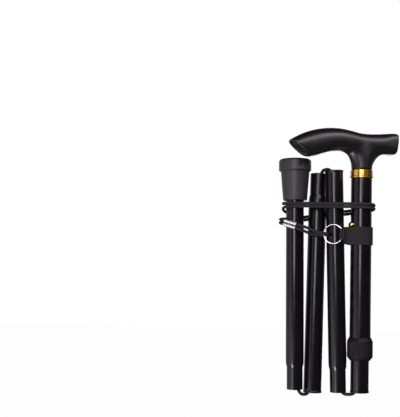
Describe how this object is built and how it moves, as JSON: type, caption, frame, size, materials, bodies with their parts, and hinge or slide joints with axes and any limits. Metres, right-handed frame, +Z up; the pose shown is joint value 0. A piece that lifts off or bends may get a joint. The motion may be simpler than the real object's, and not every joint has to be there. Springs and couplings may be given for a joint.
{
  "type": "folding cane",
  "caption": "Folded walking cane: derby handle on a telescoping tube, lower tubes joined by an elastic cord, rubber tip and a wrist strap wound round the bundle.",
  "frame": {"origin": "inside the handle over the upper tube's axis, where the hand holds it", "axes": "+Z up the upper tube towards the handle, +X towards the handle's nose, -Y towards the viewer of the pictured side"},
  "size_m": [0.126, 0.0686, 0.2809],
  "materials": {
    "handle_plastic": "satin moulded black",
    "black_tube": "gloss black paint",
    "gilt": "polished",
    "bright_steel": "polished",
    "tip_rubber": "matt dark grey",
    "webbing": "woven black",
    "cord": "braided black"
  },
  "bodies": {
    "handle_section": {"handle": "handle_plastic", "collar_ring": "gilt", "outer_tube": "black_tube", "lock_bushing": "handle_plastic", "strap_band": "webbing", "wrist_tether": "cord", "cord_crimp": "bright_steel", "wrist_cord": "cord"},
    "lock_nut": {"lock_nut": "handle_plastic"},
    "split_ring": {"split_ring": "bright_steel"},
    "inner_section": {"inner_tube": "black_tube", "button_spring": "bright_steel", "cord_anchor_upper": "handle_plastic", "shock_cord_1": "cord"},
    "height_button": {"height_button": "gilt"},
    "link_1": {"cord_link_1": "cord"},
    "section_2": {"tube_2": "black_tube", "shock_cord_2": "cord"},
    "link_2": {"cord_link_2": "cord"},
    "section_3": {"tube_3": "black_tube", "shock_cord_3": "cord"},
    "link_3": {"cord_link_3": "cord"},
    "section_4": {"tube_4": "black_tube", "shock_cord_4": "cord", "cord_anchor_lower": "handle_plastic", "rubber_tip": "tip_rubber", "tip_washer": "bright_steel"}
  },
  "joints": [
    {"name": "lock_nut_turn", "type": "hinge", "parent": "handle_section", "child": "lock_nut", "pos_m": [0, 0, -0.21712], "axis": [0, 0, 1], "range_deg": [0, 360]},
    {"name": "ring_turn", "type": "hinge", "parent": "handle_section", "child": "split_ring", "pos_m": [-0.0291, -0.01295, -0.09792], "axis": [0, 1, 0], "range_deg": [-180, 180]},
    {"name": "height_slide", "type": "slide", "parent": "handle_section", "child": "inner_section", "axis": [0, 0, -1], "range_m": [0, 0.09], "deforming": ["wrist_cord", "wrist_tether", "cord_crimp"]},
    {"name": "button_press", "type": "slide", "parent": "inner_section", "child": "height_button", "axis": [0.8572, 0.515, 0], "range_m": [0, 0.0052], "stiffness_N_per_m": 1500, "deforming": ["button_spring"]},
    {"name": "fold_1", "type": "hinge", "parent": "inner_section", "child": "link_1", "pos_m": [-0.01102, 0, -0.26321], "axis": [0, -1, 0], "range_deg": [0, 178.3], "deforming": ["wrist_cord", "wrist_tether", "cord_crimp", "cord_link_1", "cord_link_2", "cord_link_3"]},
    {"name": "insert_1", "type": "slide", "parent": "link_1", "child": "section_2", "axis": [0.0296, 0, -0.9996], "range_m": [0, 0.0253], "deforming": ["cord_link_1", "cord_link_2", "cord_link_3"]},
    {"name": "fold_2", "type": "hinge", "parent": "section_2", "child": "link_2", "pos_m": [-0.03727, 0.00548, -0.02989], "axis": [0.5537, 0.8327, -0.0021], "range_deg": [0, 178.39]},
    {"name": "insert_2", "type": "slide", "parent": "link_2", "child": "section_3", "axis": [0.0143, 0.0151, 0.9998], "range_m": [0, 0.0253]},
    {"name": "fold_3", "type": "hinge", "parent": "section_3", "child": "link_3", "pos_m": [-0.05809, 0.00373, -0.26377], "axis": [0.3756, -0.9268, 0.0068], "range_deg": [0, 178.23]},
    {"name": "insert_3", "type": "slide", "parent": "link_3", "child": "section_4", "axis": [0.0129, 0, -0.9999], "range_m": [0, 0.0253]}
  ],
  "couplings": [
    {"joint": "fold_2", "follows": "fold_1", "ratio": 1.0005},
    {"joint": "fold_3", "follows": "fold_1", "ratio": 0.99961},
    {"joint": "insert_2", "follows": "insert_1", "ratio": 1},
    {"joint": "insert_3", "follows": "insert_1", "ratio": 1}
  ]
}
